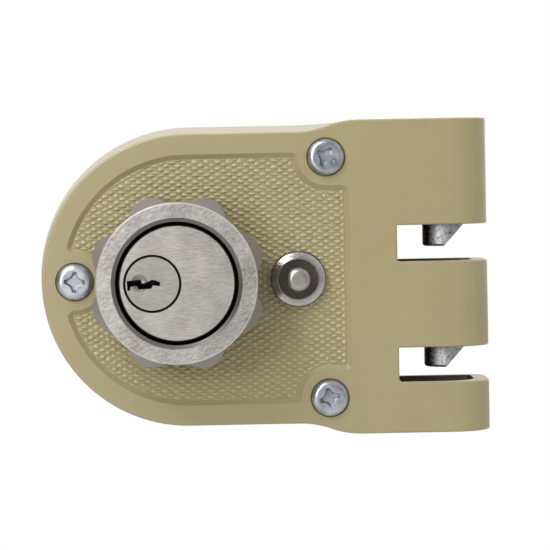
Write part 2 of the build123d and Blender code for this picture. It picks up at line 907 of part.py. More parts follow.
with BuildPart() as bolt_screws:
    for x, z in bolt_screw_places:
        round_bar(bolt_screw_head_radius, carriage_back, carriage_back - bolt_screw_head_height, x, z)
        round_bar(bolt_screw_radius, bolt_screw_tip, carriage_back, x, z)
save(bolt_screws, "bolt_screws")

# Guide posts, return spring and its peg
with BuildPart() as guide_posts:
    for z in guide_places_z:
        turned(
            [
                (0, 0),
                (guide_pin_radius, 0),
                (guide_pin_radius, plate_thickness),
                (guide_shoulder_radius, plate_thickness),
                (guide_shoulder_radius, carriage_back - sliding_clearance),
                (guide_pin_radius, carriage_back - sliding_clearance),
                (guide_pin_radius, carriage_front + sliding_clearance),
                (guide_head_radius, carriage_front + sliding_clearance),
                (guide_head_radius, carriage_front + sliding_clearance + guide_head_height),
                (0, carriage_front + sliding_clearance + guide_head_height),
            ],
            guide_x_line,
            z,
        )
save(guide_posts, "guide_posts")

with BuildPart() as spring_peg:
    block(
        guide_x_line - peg_half_width,
        guide_x_line + peg_half_width,
        peg_bottom,
        peg_bottom + peg_height,
        peg_front,
        plate_thickness,
    )
    round_bar(guide_pin_radius, plate_thickness, 0, guide_x_line, peg_middle)
save(spring_peg, "spring_peg")

with BuildPart() as return_spring:
    with BuildSketch(Plane.XY.offset(window_bottom + seat_clearance)):
        with Locations((guide_x_line, -(carriage_front + carriage_back) / 2)):
            Circle(return_spring_radius)
            Circle(return_spring_bore, mode=Mode.SUBTRACT)
    extrude(amount=peg_bottom - window_bottom - seat_clearance)
save(return_spring, "return_spring")

# Button bushing with its cup, barrel and chamber
with BuildPart() as button_bushing:
    round_bar(bezel_radius, bezel_front, panel_floor, button_x, button_z)
    chamfer(
        button_bushing.edges().group_by(Axis.Y)[0],
        bezel_slope_drop,
        bezel_slope_width,
        reference=button_bushing.faces().filter_by(GeomType.CYLINDER)[0],
    )
    bezel_edges = button_bushing.edges().filter_by(GeomType.CIRCLE).group_by(Axis.Y)
    fillet(bezel_edges[0] + bezel_edges[1], bezel_round)
    round_bar(barrel_radius, panel_floor, barrel_end, button_x, button_z)
    turned(
        [
            (0, bezel_front + overrun),
            (cup_radius, bezel_front + overrun),
            (cup_radius, bezel_front - cup_depth),
            (button_radius + turning_clearance, bezel_front - cup_depth),
            (button_radius + turning_clearance, shoulder),
            (chamber_radius, shoulder),
            (chamber_radius, cap_front),
            (chamber_radius + cap_step, cap_front),
            (chamber_radius + cap_step, barrel_end - overrun),
            (0, barrel_end - overrun),
        ],
        button_x,
        button_z,
        Mode.SUBTRACT,
    )
save(button_bushing, "button_bushing")

with BuildPart() as stop_button:
    round_bar(button_radius, button_face, collar_front, button_x, button_z)
    fillet(stop_button.edges().group_by(Axis.Y)[0], button_dome)
    round_bar(button_collar_radius, collar_front, collar_back, button_x, button_z)
    round_bar(button_tail_radius, collar_back, button_tail_end, button_x, button_z)
save(stop_button, "stop_button")

with BuildPart() as button_spring:
    tube(
        button_collar_radius,
        button_collar_radius - button_spring_wall,
        collar_back,
        cap_front + button_travel + seat_clearance,
        button_x,
        button_z,
    )
save(button_spring, "button_spring")

with BuildPart() as bushing_cap:
    tube(
        chamber_radius + cap_step - seat_clearance,
        button_tail_radius + turning_clearance,
        cap_front,
        barrel_end,
        button_x,
        button_z,
    )
save(bushing_cap, "bushing_cap")

with BuildPart() as bushing_nut:
    tube(
        bush_nut_radius,
        barrel_radius + seat_clearance,
        inner_face,
        inner_face - bush_nut_height,
        button_x,
        button_z,
    )
save(bushing_nut, "bushing_nut")
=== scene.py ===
import json
import math
import random

import bmesh
import bpy
from bpy.props import FloatProperty, FloatVectorProperty, IntProperty, PointerProperty
from mathutils import Matrix, Vector

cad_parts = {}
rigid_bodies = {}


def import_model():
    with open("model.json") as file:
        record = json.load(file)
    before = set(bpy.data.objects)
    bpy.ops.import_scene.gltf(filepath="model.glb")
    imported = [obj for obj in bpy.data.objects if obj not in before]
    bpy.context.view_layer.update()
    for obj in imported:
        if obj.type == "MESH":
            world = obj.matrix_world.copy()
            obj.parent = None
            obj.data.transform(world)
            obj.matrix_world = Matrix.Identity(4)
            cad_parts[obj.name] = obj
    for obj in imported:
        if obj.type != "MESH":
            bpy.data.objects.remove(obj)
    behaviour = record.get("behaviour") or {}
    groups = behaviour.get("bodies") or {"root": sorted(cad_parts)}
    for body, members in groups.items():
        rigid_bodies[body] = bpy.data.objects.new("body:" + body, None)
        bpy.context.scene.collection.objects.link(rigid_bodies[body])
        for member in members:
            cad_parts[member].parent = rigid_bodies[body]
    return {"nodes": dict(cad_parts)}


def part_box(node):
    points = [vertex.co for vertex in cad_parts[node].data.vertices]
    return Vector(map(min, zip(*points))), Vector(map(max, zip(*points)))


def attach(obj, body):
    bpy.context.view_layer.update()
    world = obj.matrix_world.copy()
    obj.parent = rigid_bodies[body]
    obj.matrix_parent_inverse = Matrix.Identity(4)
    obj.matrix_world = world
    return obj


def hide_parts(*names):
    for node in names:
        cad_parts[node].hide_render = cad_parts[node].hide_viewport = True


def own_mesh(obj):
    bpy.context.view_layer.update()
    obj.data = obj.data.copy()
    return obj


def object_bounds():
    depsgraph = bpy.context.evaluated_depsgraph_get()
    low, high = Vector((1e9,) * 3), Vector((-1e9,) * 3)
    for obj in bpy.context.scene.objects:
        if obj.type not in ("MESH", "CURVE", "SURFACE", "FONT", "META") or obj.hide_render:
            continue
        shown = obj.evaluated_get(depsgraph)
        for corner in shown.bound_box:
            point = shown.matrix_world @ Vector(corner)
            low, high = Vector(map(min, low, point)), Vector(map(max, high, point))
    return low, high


for leftover in list(bpy.data.objects):
    bpy.data.objects.remove(leftover)
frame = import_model()
cad_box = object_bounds()

bl_info = {
    "name": "Rim door lock",
    "version": (1, 0),
    "blender": (4, 5, 0),
    "location": "View3D > Sidebar > Lock",
    "description": "Finishes and small forms for a rim mounted interlocking door lock",
    "category": "Object",
}

MM = 0.001
FULL_TURN = 2 * math.pi
# Linear colour of the knob's worn rim, near white: partly wear, partly a painted highlight
WORN_AND_LIT_EDGE = (1.0, 0.99, 0.96)
# Straight cuts round a circle, and along the panel's round end
ROUND_CUTS = 48
ARC_CUTS = 30
# A corner that is nearer to a cutting line than this lies on it
ON_LINE = 0.0001 * MM
# Sides of a spring's wire, and its steps in a turn
WIRE_SIDES = 8
WIRE_STEPS = 18


def tone(red, green, blue):
    """A colour as it is seen on a screen, 0 to 255, turned into the linear numbers of a shader."""
    return tuple(
        part / 12.92 if part <= 0.04045 else ((part + 0.055) / 1.055) ** 2.4
        for part in (red / 255, green / 255, blue / 255)
    )


def colour(name, description, red, green, blue):
    """A colour property."""
    return FloatVectorProperty(
        name=name,
        description=description,
        subtype="COLOR",
        size=3,
        min=0.0,
        max=1.0,
        default=tone(red, green, blue),
    )


def length(name, description, millimetres):
    """A length property, given in millimetres."""
    return FloatProperty(
        name=name, description=description, unit="LENGTH", precision=5, default=millimetres * MM
    )


def angle(name, description, degrees):
    """An angle property, given in degrees."""
    return FloatProperty(
        name=name, description=description, subtype="ANGLE", default=math.radians(degrees)
    )


def place(name, description, *millimetres):
    """A point in the lock's frame, given in millimetres."""
    return FloatVectorProperty(
        name=name,
        description=description,
        subtype="TRANSLATION",
        unit="LENGTH",
        default=tuple(part * MM for part in millimetres),
    )


class LOCK_PG_view(bpy.types.PropertyGroup):
    """Where the camera stands."""

    place: place("Camera", "Where the lens is", 22.41, -700.0, 24.93)
    yaw: angle("Yaw", "Turn to the right", 0.19)
    pitch: angle("Pitch", "Look down", 2.04)
    roll: angle("Roll", "Picture turned anticlockwise", 1.10)
    lens: FloatProperty(
        name="Lens", description="Focal length on a 36 mm sensor", unit="CAMERA", default=171.09
    )


class LOCK_PG_light(bpy.types.PropertyGroup):
    """The lamps and the light that comes from all round."""

    key_place: place("Key lamp", "Where the main lamp hangs", -330.0, -480.0, 560.0)
    key_size: length("Key size", "Side of the main lamp", 320.0)
    key_power: FloatProperty(name="Key power", description="Watts of the main lamp", default=3.5)
    card_place: place("Bright card", "Card that the flat metal mirrors", -230.0, -520.0, 100.0)
    card_size: length("Card size", "Side of the bright card", 160.0)
    card_power: FloatProperty(name="Card power", description="Watts of the card", default=1.0)
    top_place: place("Top lamp", "Where the lamp above the lock hangs", 0.0, 60.0, 350.0)
    top_size: length("Top size", "Side of the top lamp", 200.0)
    top_power: FloatProperty(name="Top power", description="Watts of the top lamp", default=0.5)
    aim: place("Aim", "Point that the lamps face", 20.0, -20.0, 0.0)
    around: FloatProperty(
        name="Room light", description="Light that comes from all round", default=0.73
    )
    from_right: FloatProperty(
        name="From the right",
        description="How much more room light the right side gives",
        default=0.75,
    )
    floor_drop: length("Floor drop", "How far the floor is under the lock", 60.0)
    floor_half: length("Floor half", "Half of the floor's side", 2000.0)
    floor_grey: FloatProperty(
        name="Floor grey", description="Share of the light that the floor gives back", default=0.58
    )


class LOCK_PG_colours(bpy.types.PropertyGroup):
    """Colours of the finishes."""

    paint: colour("Paint", "Enamel on the case", 156, 145, 105)
    paint_deep: colour("Paint in thick places", "Enamel where it has run together", 149, 137, 100)
    # Painted light and shade on the grain: tops a little lighter than the paint, the foot of each
    # grain darkened as painted shade
    ridge_lit: colour("Ridges", "Enamel on top of the grains", 165, 153, 111)
    valley: colour("Valleys", "Enamel that has settled between the grains", 112, 103, 68)
    nickel: colour("Nickel", "Knob and button", 208, 204, 199)
    nickel_deep: colour("Nickel in the strokes", "Nickel between the brush strokes", 146, 140, 137)
    lobe: colour("Lobes", "Lobes of the knob, plated but not brushed", 165, 158, 155)
    face: colour("Cylinder face", "Face of the key cylinder", 197, 193, 187)
    face_deep: colour("Face in the strokes", "Face between the brush strokes", 158, 153, 147)
    plug: colour("Plug", "Face of the plug", 180, 177, 171)
    plug_deep: colour("Plug in the strokes", "Plug between the brush strokes", 147, 143, 137)
    # Painted shade in the key guide's dimple: the whole dimple is darkened
    guide: colour("Key guide", "Dimple that guides the key's tip", 138, 135, 131)
    zinc: colour("Zinc", "Screw heads", 197, 200, 206)
    zinc_deep: colour("Zinc clouds", "Duller clouds on the zinc", 158, 163, 172)
    forged: colour("Forged steel", "High places on the bolts", 198, 197, 200)
    # Black, both for the scale among the bright specks and for the painted shade on the bolts' left
    # side
    forged_scale_and_shade: colour("Forging scale", "Scale on the bolts", 44, 42, 44)
    steel: colour("Pressed steel", "Parts inside the case", 176, 176, 180)
    steel_deep: colour("Oil film", "Oil on the steel", 120, 118, 114)
    # Painted shade: the inside of the hollow knuckles is darkened as if in shadow
    casting: colour("Casting", "Bare casting in the hollow knuckles", 90, 80, 62)
    # Painted shadow: near black in the slits round the cylinder and the plug, and on thin rings of
    # the faces beside them
    shadow: colour("Gap", "Unpolished metal in the gap round the cylinder", 40, 38, 36)
    bezel_deep: colour("Bezel clouds", "Duller clouds on the bezel", 178, 172, 169)
    # Painted shade on the bezel's inner slope, darkest at the cup
    bezel_flank_shade: colour("Bezel flank", "Duller inner flank of the bezel", 112, 105, 100)
    # Partly oxide, partly painted shade: the cup is darkened and made matt, and the lamps shade it
    # further
    cup: colour("Cup", "Dark oxide in the button's cup", 92, 85, 78)
    # Painted shade on the bevel inside the knob's ring, which faces away from the light
    chamfer: colour("Chamfer", "Chamfer inside the knob's ring", 140, 136, 132)
    # Painted shadow: a dark line on the case and the grain round the button's bezel, where the
    # bezel meets the panel
    seam: colour("Seam", "Shadowed seam round the button's bezel", 62, 56, 42)
    brass: colour("Brass", "Pins, nut and cap", 214, 184, 116)
    brass_deep: colour("Brass tarnish", "Darker places on the brass", 170, 138, 76)


class LOCK_PG_grain(bpy.types.PropertyGroup):
    """The raised grain of the case's panel."""

    along: length("Along a row", "From one grain to the next in a row", 1.686)
    across: length("Across the rows", "From one grain to the next in the next row", 1.686)
    row_turn: angle("Row slope", "How far the rows rise to the right", 30.0)
    up_turn: angle("Column slope", "Direction from a grain to the one in the next row", 150.0)
    height: length("Grain height", "How far a grain stands out", 0.39)
    valley: length("Valley", "Flat between two grains, on each side", 0.07)
    slope: length("Grain slope", "Width of a grain's sloping side", 0.47)
    shake: FloatProperty(
        name="Shake", description="Unevenness, as a share of the pitch", default=0.1
    )
    border: length("Border", "Slope inside the panel's edge", 1.3)
    shift: length("Shift", "How far the pattern lies to the right", 6.0)
    cover: FloatProperty(
        name="Cover", description="Half of the uncut sheet, in lengths of the panel", default=1.6
    )
    sheet: length("Sheet", "How far the grain's sheet goes into the panel", 0.4)
    weld: length("Weld", "Corners nearer to each other than this are joined", 0.03)
    smallest: FloatProperty(
        name="Smallest", description="Smallest cell that stays, as a share of a cell", default=0.25
    )
    whole: FloatProperty(
        name="Whole", description="Share of a cell from which it counts as whole", default=0.8
    )
    seed: IntProperty(name="Seed", description="Start of the unevenness", default=7)


class LOCK_PG_panel_sizes(bpy.types.PropertyGroup):
    """Sizes of the recessed panel, as the case has them."""

    floor: length("Panel floor", "Distance of the panel's floor from the door", 25.1)
    round_x: length("Round centre", "X of the centre of the round end", 2.1)
    radius: length("Panel radius", "Radius of the panel's round end", 32.4)
    right: length("Right edge", "X of the panel's right edge", 44.2)
    land: length("Land", "Radius of the smooth land round a screw", 7.3)
    screw_x: length("Screw X", "X of the two screws near the jaws", 38.3)
    screw_z: length("Screw Z", "Height of the upper screw", 31.1)
    left_screw_x: length("Left screw", "X of the screw in the round end", -27.05)
    knob_clear: length("Knob room", "Radius kept free round the knob", 20.4)
    button_x: length("Button X", "X of the stop button", 30.64)
    button_z: length("Button Z", "Height of the stop button", -0.2)
    button_clear: length("Button room", "Radius kept free round the button", 6.3)


class LOCK_PG_marks(bpy.types.PropertyGroup):
    """Where one finish or painted shade ends and the next begins. Depths are distances from the
    door.
    """

    gap_inside: length("Gap inside", "Inner radius of the gap round the cylinder", 14.6)
    gap_outside: length("Gap outside", "Outer radius of that gap", 15.6)
    gap_below: length("Gap below", "Depth under which that gap is dark", 46.9)
    chamfer_inside: length("Chamfer inside", "Inner radius of the knob's chamfer", 15.5)
    chamfer_outside: length("Chamfer outside", "Outer radius of that chamfer", 16.65)
    chamfer_below: length("Chamfer below", "Depth under which the chamfer lies", 47.95)
    plug_x: length("Plug X", "X of the plug's axis", -6.2)
    plug_inside: length("Plug edge inside", "Inner radius of the dark edge round the plug", 6.7)
    plug_outside: length("Plug edge outside", "Outer radius of that edge", 7.32)
    guide_x: length("Guide X", "X of the key guide's centre", -9.4)
    guide_radius: length("Guide radius", "Radius of the key guide", 2.1)
    all_depths: length("All depths", "Depth that lies in front of the whole lock", 60.0)
    cup_radius: length("Cup radius", "Radius of the dark cup of the button", 5.25)
    cup_below: length("Cup below", "Depth under which the cup is dark", 27.4)
    cup_matt: FloatProperty(
        name="Cup matt", description="How much of the cup is oxide instead of metal", default=0.85
    )
    flank_inside: length("Flank inside", "Radius at which the bezel is dullest", 5.3)
    flank_outside: length("Flank outside", "Radius from which the bezel is bright", 6.5)
    ring_pitch: length("Ring pitch", "From one lathe ring of the button to the next", 0.5)
    rim_radius: length("Rim radius", "Outer radius of the knob's ring", 20.3)
    # The worn rim edge is lightened: partly wear, partly a painted highlight
    rim_worn_lit_edge: length("Rim edge", "Width of its worn edge", 0.35)
    rim_skirt: length("Rim skirt", "How far inside the rim the plain skirt begins", 3.0)
    knob_face: length("Knob face", "Depth of the knob's face", 48.0)
    # Radii of the painted shadow line round the button
    case_seam_shadow: length("Case seam", "Radius of the seam round the button, on the case", 7.2)
    grain_seam_shadow: length("Grain seam", "Radius of the same seam on the grain", 7.25)
    # Up to this X the bolts are painted black as shade on their left side
    lit_from: length("Worn from", "X from which the bolts are worn bright", 65.2)
    middle_low: place("Middle hollow", "Low corner of the middle hollow", 56.5, -23.1, -16.0)
    middle_high: place("Middle hollow end", "High corner of that hollow", 76.5, -2.4, 3.6)
    lowest_low: place("Lowest hollow", "Low corner of the lowest hollow", 56.5, -23.1, -38.0)
    lowest_high: place("Lowest hollow end", "High corner of that hollow", 76.5, -2.4, -27.7)


class LOCK_PG_springs(bpy.types.PropertyGroup):
    """Wire and turns of the coil springs."""

    return_wire: length("Return wire", "Wire of the spring behind the carriage", 0.7)
    return_turns: IntProperty(name="Return turns", description="Turns of that spring", default=10)
    return_keep: FloatProperty(
        name="Return keep", description="Share of its length left with the bolts up", default=0.634
    )
    button_wire: length("Button wire", "Wire of the stop button's spring", 0.7)
    button_turns: IntProperty(name="Button turns", description="Turns of that spring", default=5)
    pin_wire: length("Pin wire", "Wire of the springs behind the driver pins", 0.4)
    pin_turns: IntProperty(name="Pin turns", description="Turns of each pin spring", default=7)
    pin_count: IntProperty(name="Pins", description="How many pin springs there are", default=5)


class Shade:
    """A socket of a material in the making. Sums on it become Math nodes."""

    def __init__(self, finish, socket):
        self.finish = finish
        self.socket = socket

    def sum(self, operation, first, second=0.0):
        return self.finish.node("ShaderNodeMath", {"operation": operation}, {0: first, 1: second})

    def __add__(self, other):
        return self.sum("ADD", self, other)

    __radd__ = __add__

    def __sub__(self, other):
        return self.sum("SUBTRACT", self, other)

    def __rsub__(self, other):
        return self.sum("SUBTRACT", other, self)

    def __mul__(self, other):
        return self.sum("MULTIPLY", self, other)

    __rmul__ = __mul__

    def __gt__(self, other):
        return self.sum("GREATER_THAN", self, other)

    def sine(self):
        return self.sum("SINE", self)


class Finish:
    """A node tree in the making: a material or the world."""

    def __init__(self, tree):
        self.tree = tree
        tree.nodes.clear()

    def node(self, kind, settings=None, values=None, output=0):
        """Adds a node: its settings first, then the values or links of its sockets."""
        made = self.tree.nodes.new(kind)
        for name, value in (settings or {}).items():
            if name == "stops":
                ramp = made.color_ramp
                while len(ramp.elements) < len(value):
                    ramp.elements.new(1.0)
                for element, (position, grey) in zip(ramp.elements, value):
                    element.position = position
                    element.color = (grey, grey, grey, 1.0)
            else:
                setattr(made, name, value)
        for name, value in (values or {}).items():
            if isinstance(value, Shade):
                self.tree.links.new(value.socket, made.inputs[name])
            else:
                made.inputs[name].default_value = value
        return Shade(self, made.outputs[output]) if made.outputs else None

    def where(self):
        """Object coordinates."""
        return self.node("ShaderNodeTexCoord", output="Object")

    def stretched(self, scale, turn=(0.0, 0.0, 0.0)):
        """Object coordinates, turned and then stretched."""
        turned = self.node(
            "ShaderNodeMapping", values={"Vector": self.where(), "Rotation": turn}
        )
        return self.node("ShaderNodeMapping", values={"Vector": turned, "Scale": scale})

    def noise(self, vector, scale, detail=2.0, roughness=0.5):
        """A noise from 0 to 1."""
        return self.node(
            "ShaderNodeTexNoise",
            values={"Vector": vector, "Scale": scale, "Detail": detail, "Roughness": roughness},
        )

    def ramp(self, value, *stops):
        """A value bent by a ramp of (position, grey) stops."""
        return self.node("ShaderNodeValToRGB", {"stops": stops}, {0: value})

    def mix(self, factor, first, second):
        """A colour between two colours."""
        first, second = [
            tint if isinstance(tint, Shade) else (*tint, 1.0) for tint in (first, second)
        ]
        return self.node(
            "ShaderNodeMix", {"data_type": "RGBA"}, {0: factor, 6: first, 7: second}, 2
        )

    def axis(self, name):
        """One of the object coordinates."""
        return self.node("ShaderNodeSeparateXYZ", values={"Vector": self.where()}, output=name)

    def inside(self, low, high):
        """1 inside a box between two corners, 0 outside."""
        held = 1.0
        for name, floor, roof in zip("XYZ", low, high):
            spot = self.axis(name)
            held = held * (spot > floor) * (1 - (spot > roof))
        return held

    def reach(self, x, z):
        """Distance from an axis along the door's normal."""
        offset = self.node(
            "ShaderNodeVectorMath",
            {"operation": "SUBTRACT"},
            {0: self.where(), 1: (x, 0.0, z)},
        )
        flat = self.node(
            "ShaderNodeVectorMath", {"operation": "MULTIPLY"}, {0: offset, 1: (1.0, 0.0, 1.0)}
        )
        return self.node(
            "ShaderNodeVectorMath", {"operation": "LENGTH"}, {0: flat}, output="Value"
        )

    def bump(self, height, distance, strength=1.0):
        """A normal from a height, where distance is its reach in metres."""
        return self.node(
            "ShaderNodeBump", values={"Height": height, "Distance": distance, "Strength": strength}
        )


def material(name, build):
    """A new material whose surface is what build makes."""
    made = bpy.data.materials.new(name)
    made.use_nodes = True
    finish = Finish(made.node_tree)
    surface = finish.node("ShaderNodeBsdfPrincipled", values=build(finish))
    finish.node("ShaderNodeOutputMaterial", values={"Surface": surface})
    return made


def enamel(
    colours, peel_size=0.7 * MM, peel_depth=0.02 * MM, shaded_hollows=(), seam=None, painted_valley_shade=None
):
    """Satin enamel with clouds and a fine orange peel; painted shade in the hollow knuckles, in a
    thin ring round the button, and between the grains, darkest at their foot.
    """

    def build(finish):
        clouds = finish.noise(finish.where(), scale=55.0, detail=3.0)
        peel = finish.noise(finish.where(), scale=1 / peel_size, detail=3.0)
        skin = finish.mix(clouds, colours.paint, colours.paint_deep)
        # Painted shade inside the hollow knuckles
        for low, high in shaded_hollows:
            skin = finish.mix(finish.inside(low, high), skin, colours.casting)
        # Painted shade between the grains: the colour runs from the lighter tops to dark at the
        # foot of each grain
        if painted_valley_shade:
            floor, height = painted_valley_shade
            rise = (-floor - finish.axis("Y")) * (1 / height)
            low = finish.ramp(rise, (0.05, 0.45), (0.6, 0.0))
            skin = finish.mix(low, colours.ridge_lit, colours.valley)
        # Painted shadow in a thin ring round the button's bezel
        if seam:
            x, z, radius = seam
            skin = finish.mix(1 - (finish.reach(x, z) > radius), skin, colours.seam)
        return {
            "Base Color": skin,
            "Roughness": 0.34 + 0.1 * clouds,
            "Normal": finish.bump(peel, distance=peel_depth, strength=0.6),
            "Coat Weight": 0.45,
            "Coat Roughness": 0.18,
        }

    return build


def brushed(light, deep, strokes, rough, slope=0.0, dark=(), rim=None, flank=None):
    """Brushed metal: short strokes and clouds; at the rim a worn edge lightened partly as a painted
    highlight, and a plain skirt; painted shade on a bezel's inner slope and in the given rings and
    recesses, where the cup is partly oxide.
    """

    def build(finish):
        turn = (0.0, slope, 0.0)
        finer = tuple(1.9 * part for part in strokes)
        long = finish.noise(finish.stretched(strokes, turn), scale=1.0, detail=3.0, roughness=0.7)
        short = finish.noise(finish.stretched(finer, turn), scale=1.0)
        cloud = finish.noise(finish.where(), scale=150.0, detail=3.0)
        mark = 0.5 * long + 0.5 * short
        shown = finish.ramp(0.8 * mark + 0.2 * cloud, (0.38, 0.0), (0.62, 1.0))
        skin = finish.mix(shown, deep, light)
        rougher = rough + 0.2 * mark + 0.08 * cloud
        if rim:
            radius, edge, width, face, shade = rim
            reach = finish.reach(0.0, 0.0)
            # The worn rim edge is mixed towards near white and made rougher: partly wear, partly a
            # painted highlight
            worn_lit_edge = reach > radius - edge
            skirt = (reach > radius - width) * (finish.axis("Y") > edge - face)
            skin = finish.mix(0.4 * worn_lit_edge, skin, WORN_AND_LIT_EDGE)
            skin = finish.mix(skirt, skin, shade)
            rougher = rougher + 0.15 * worn_lit_edge
        # Painted shade on the inner slope of the bezel, darkest at the cup and fading towards its
        # edge
        if flank:
            x, inside, outside, shade = flank
            share = finish.reach(x, 0.0) * (1 / outside)
            near = finish.ramp(share, (inside / outside, 0.45), (1.0, 0.0))
            skin = finish.mix(near, skin, shade)
        dull = 0.0
        for x, inside, outside, depth, shade, matt in dark:
            reach = finish.reach(x, 0.0)
            hidden = (reach > inside) * (1 - (reach > outside)) * (finish.axis("Y") > -depth)
            skin = finish.mix(hidden, skin, shade)
            dull = dull + matt * hidden
        return {
            "Base Color": skin,
            "Metallic": 1 - dull,
            "Roughness": rougher,
            "Normal": finish.bump(mark, distance=0.06 * MM, strength=0.8),
        }

    return build


def clouded(light, deep, scale, rough, depth=0.01 * MM):
    """Plain metal with clouds and a fine grain."""

    def build(finish):
        clouds = finish.noise(finish.where(), scale=scale, detail=4.0)
        grain = finish.noise(finish.where(), scale=12 * scale, detail=3.0)
        shown = finish.ramp(clouds, (0.35, 0.0), (0.65, 1.0))
        return {
            "Base Color": finish.mix(shown, deep, light),
            "Metallic": 1.0,
            "Roughness": rough + 0.15 * clouds,
            "Normal": finish.bump(grain, distance=depth, strength=0.6),
        }

    return build


def forging(colours, lit_from, spread=2.0 * MM):
    """Forged steel: black, both as scale and as painted shade on the left side, and bright and
    speckled from one X onwards.
    """

    def build(finish):
        lumps = finish.noise(finish.where(), scale=1300.0, detail=4.0, roughness=0.7)
        specks = finish.noise(finish.where(), scale=4200.0, detail=3.0, roughness=0.7)
        # Up to this X the bolts stay black as painted shade on their left side; beyond it they turn
        # bright and speckled
        past = (finish.axis("X") - lit_from) * (1 / spread)
        worn = finish.ramp(past + 1.2 * lumps, (0.4, 0.0), (0.95, 1.0))
        bare = worn * finish.ramp(0.45 * lumps + 0.55 * specks, (0.36, 0.0), (0.54, 1.0))
        return {
            "Base Color": finish.mix(bare, colours.forged_scale_and_shade, colours.forged),
            "Metallic": 1.0,
            "Roughness": 0.5 - 0.12 * bare,
            "Normal": finish.bump(lumps + 0.5 * specks, distance=0.12 * MM, strength=0.7),
        }

    return build


def turned_metal(light, deep, x, z, pitch, rough):
    """Metal with the fine rings that a lathe leaves round one axis."""

    def build(finish):
        ring = 0.5 + 0.5 * (finish.reach(x, z) * (FULL_TURN / pitch)).sine()
        cloud = finish.noise(finish.where(), scale=900.0, detail=3.0)
        return {
            "Base Color": finish.mix(0.6 * ring + 0.4 * cloud, deep, light),
            "Metallic": 1.0,
            "Roughness": rough + 0.1 * cloud,
            "Normal": finish.bump(ring, distance=0.01 * MM, strength=0.5),
        }

    return build


def piece(mesh, name, body, finish, smooth=True):
    """Makes an object of a bmesh, at the origin, riding on a body."""
    data = bpy.data.meshes.new(name)
    mesh.to_mesh(data)
    mesh.free()
    for face in data.polygons:
        face.use_smooth = smooth
    made = bpy.data.objects.new(name, data)
    bpy.context.scene.collection.objects.link(made)
    data.materials.append(finish)
    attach(made, body)
    return made


def dress(names, finish):
    """Gives CAD nodes a material."""
    for name in names:
        for slot in frame["nodes"][name].material_slots:
            slot.material = finish


def flat_distance(spot, x, z):
    """Distance from an axis along the door's normal."""
    return math.hypot(spot.x - x, spot.z - z)


